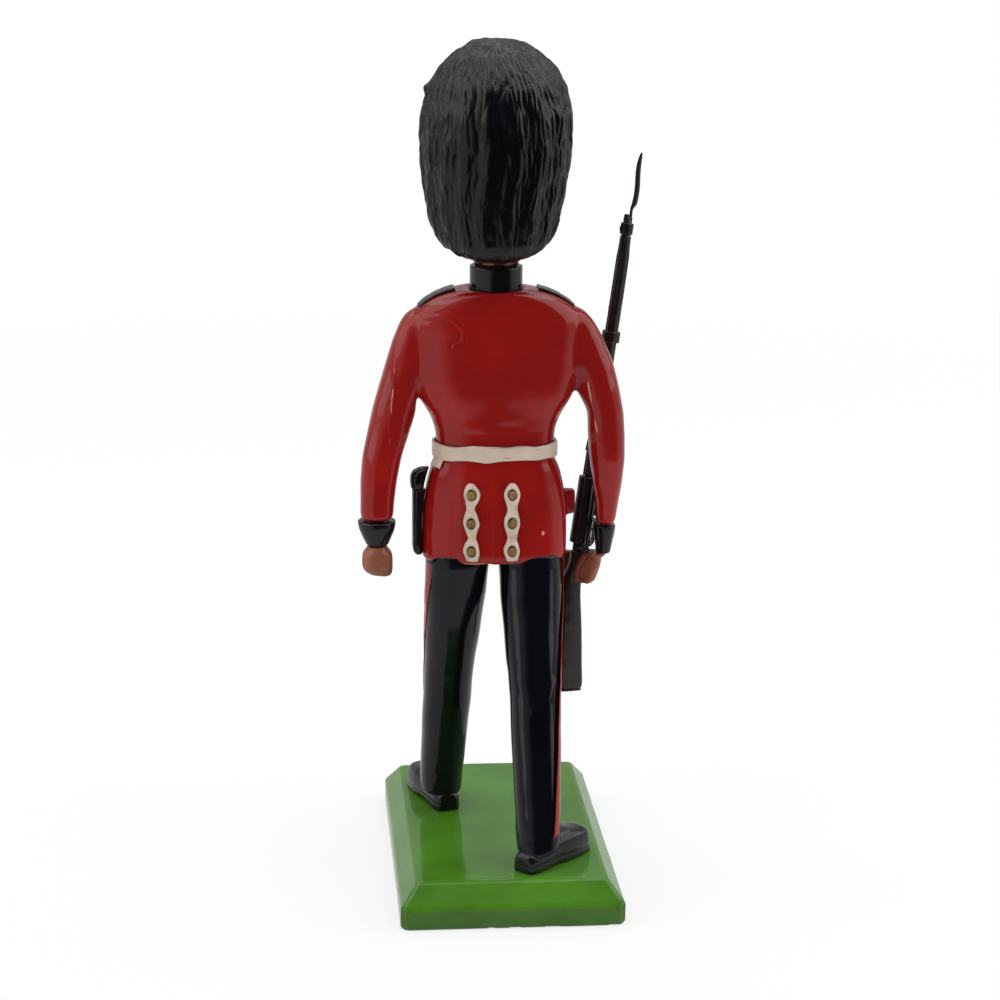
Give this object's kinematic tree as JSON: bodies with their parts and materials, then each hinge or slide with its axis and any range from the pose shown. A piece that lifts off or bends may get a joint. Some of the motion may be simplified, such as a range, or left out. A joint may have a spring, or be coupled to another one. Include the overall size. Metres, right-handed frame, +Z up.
{
  "type": "toy soldier figure",
  "caption": "Painted die-cast toy guardsman in a bearskin cap, marching on a bevelled green base, with a turning head, swinging arms and a rifle held upright at the right side.",
  "frame": {"origin": "middle of the base's underside", "axes": "+Z up, +Y the way the figure marches and faces, +X to the figure's right, where the rifle is"},
  "size_m": [0.0233, 0.03, 0.0691],
  "materials": {
    "green_paint": "gloss enamel over die-cast metal",
    "black_paint": "gloss enamel over die-cast metal",
    "navy_paint": "gloss blue-black enamel over die-cast metal",
    "red_paint": "gloss enamel over die-cast metal",
    "cream_paint": "satin enamel over die-cast metal, worn at its edges",
    "gold_paint": "gold enamel over die-cast metal",
    "flesh_paint": "gloss enamel over die-cast metal",
    "bearskin_paint": "satin enamel over carved die-cast metal",
    "stock_paint": "gloss brown-black enamel over die-cast metal",
    "gun_paint": "gloss enamel over die-cast metal",
    "steel_paint": "grey enamel over die-cast metal"
  },
  "bodies": {
    "figure": {"base": "green_paint", "left_boot": "black_paint", "right_boot": "black_paint", "left_leg": "navy_paint", "right_leg": "navy_paint", "trouser_stripes": "red_paint", "tunic": "red_paint", "collar": "black_paint", "belt": "cream_paint", "belt_buckle": "gold_paint", "skirt_lace": "cream_paint", "skirt_buttons": "gold_paint", "front_buttons": "gold_paint", "shoulder_straps": "black_paint", "bayonet_frog": "black_paint", "bayonet_scabbard": "black_paint"},
    "head": {"head": "flesh_paint", "chin_chain": "gold_paint", "bearskin": "bearskin_paint"},
    "left_arm": {"left_sleeve": "red_paint", "left_cuff": "black_paint", "left_hand": "flesh_paint"},
    "right_arm": {"right_sleeve": "red_paint", "right_cuff": "black_paint", "right_hand": "flesh_paint", "rifle_stock": "stock_paint", "rifle_barrel": "gun_paint", "rifle_receiver": "gun_paint", "rifle_bolt": "gun_paint", "rifle_magazine": "gun_paint", "trigger_guard": "gun_paint", "rifle_trigger": "gun_paint", "rifle_bands": "steel_paint", "rifle_sights": "gun_paint", "butt_plate": "gun_paint", "bayonet": "steel_paint"}
  },
  "joints": [
    {"name": "neck_turn", "type": "hinge", "parent": "figure", "child": "head", "pos_m": [-0.0007, -0.0015, 0.04945], "axis": [0, 0, 1], "continuous": true},
    {"name": "left_shoulder_swing", "type": "hinge", "parent": "figure", "child": "left_arm", "pos_m": [-0.00725, -0.0015, 0.04525], "axis": [1, 0, 0], "continuous": true},
    {"name": "right_shoulder_swing", "type": "hinge", "parent": "figure", "child": "right_arm", "pos_m": [0.00585, -0.0015, 0.04525], "axis": [1, 0, 0], "range_deg": [-60, 135]}
  ]
}
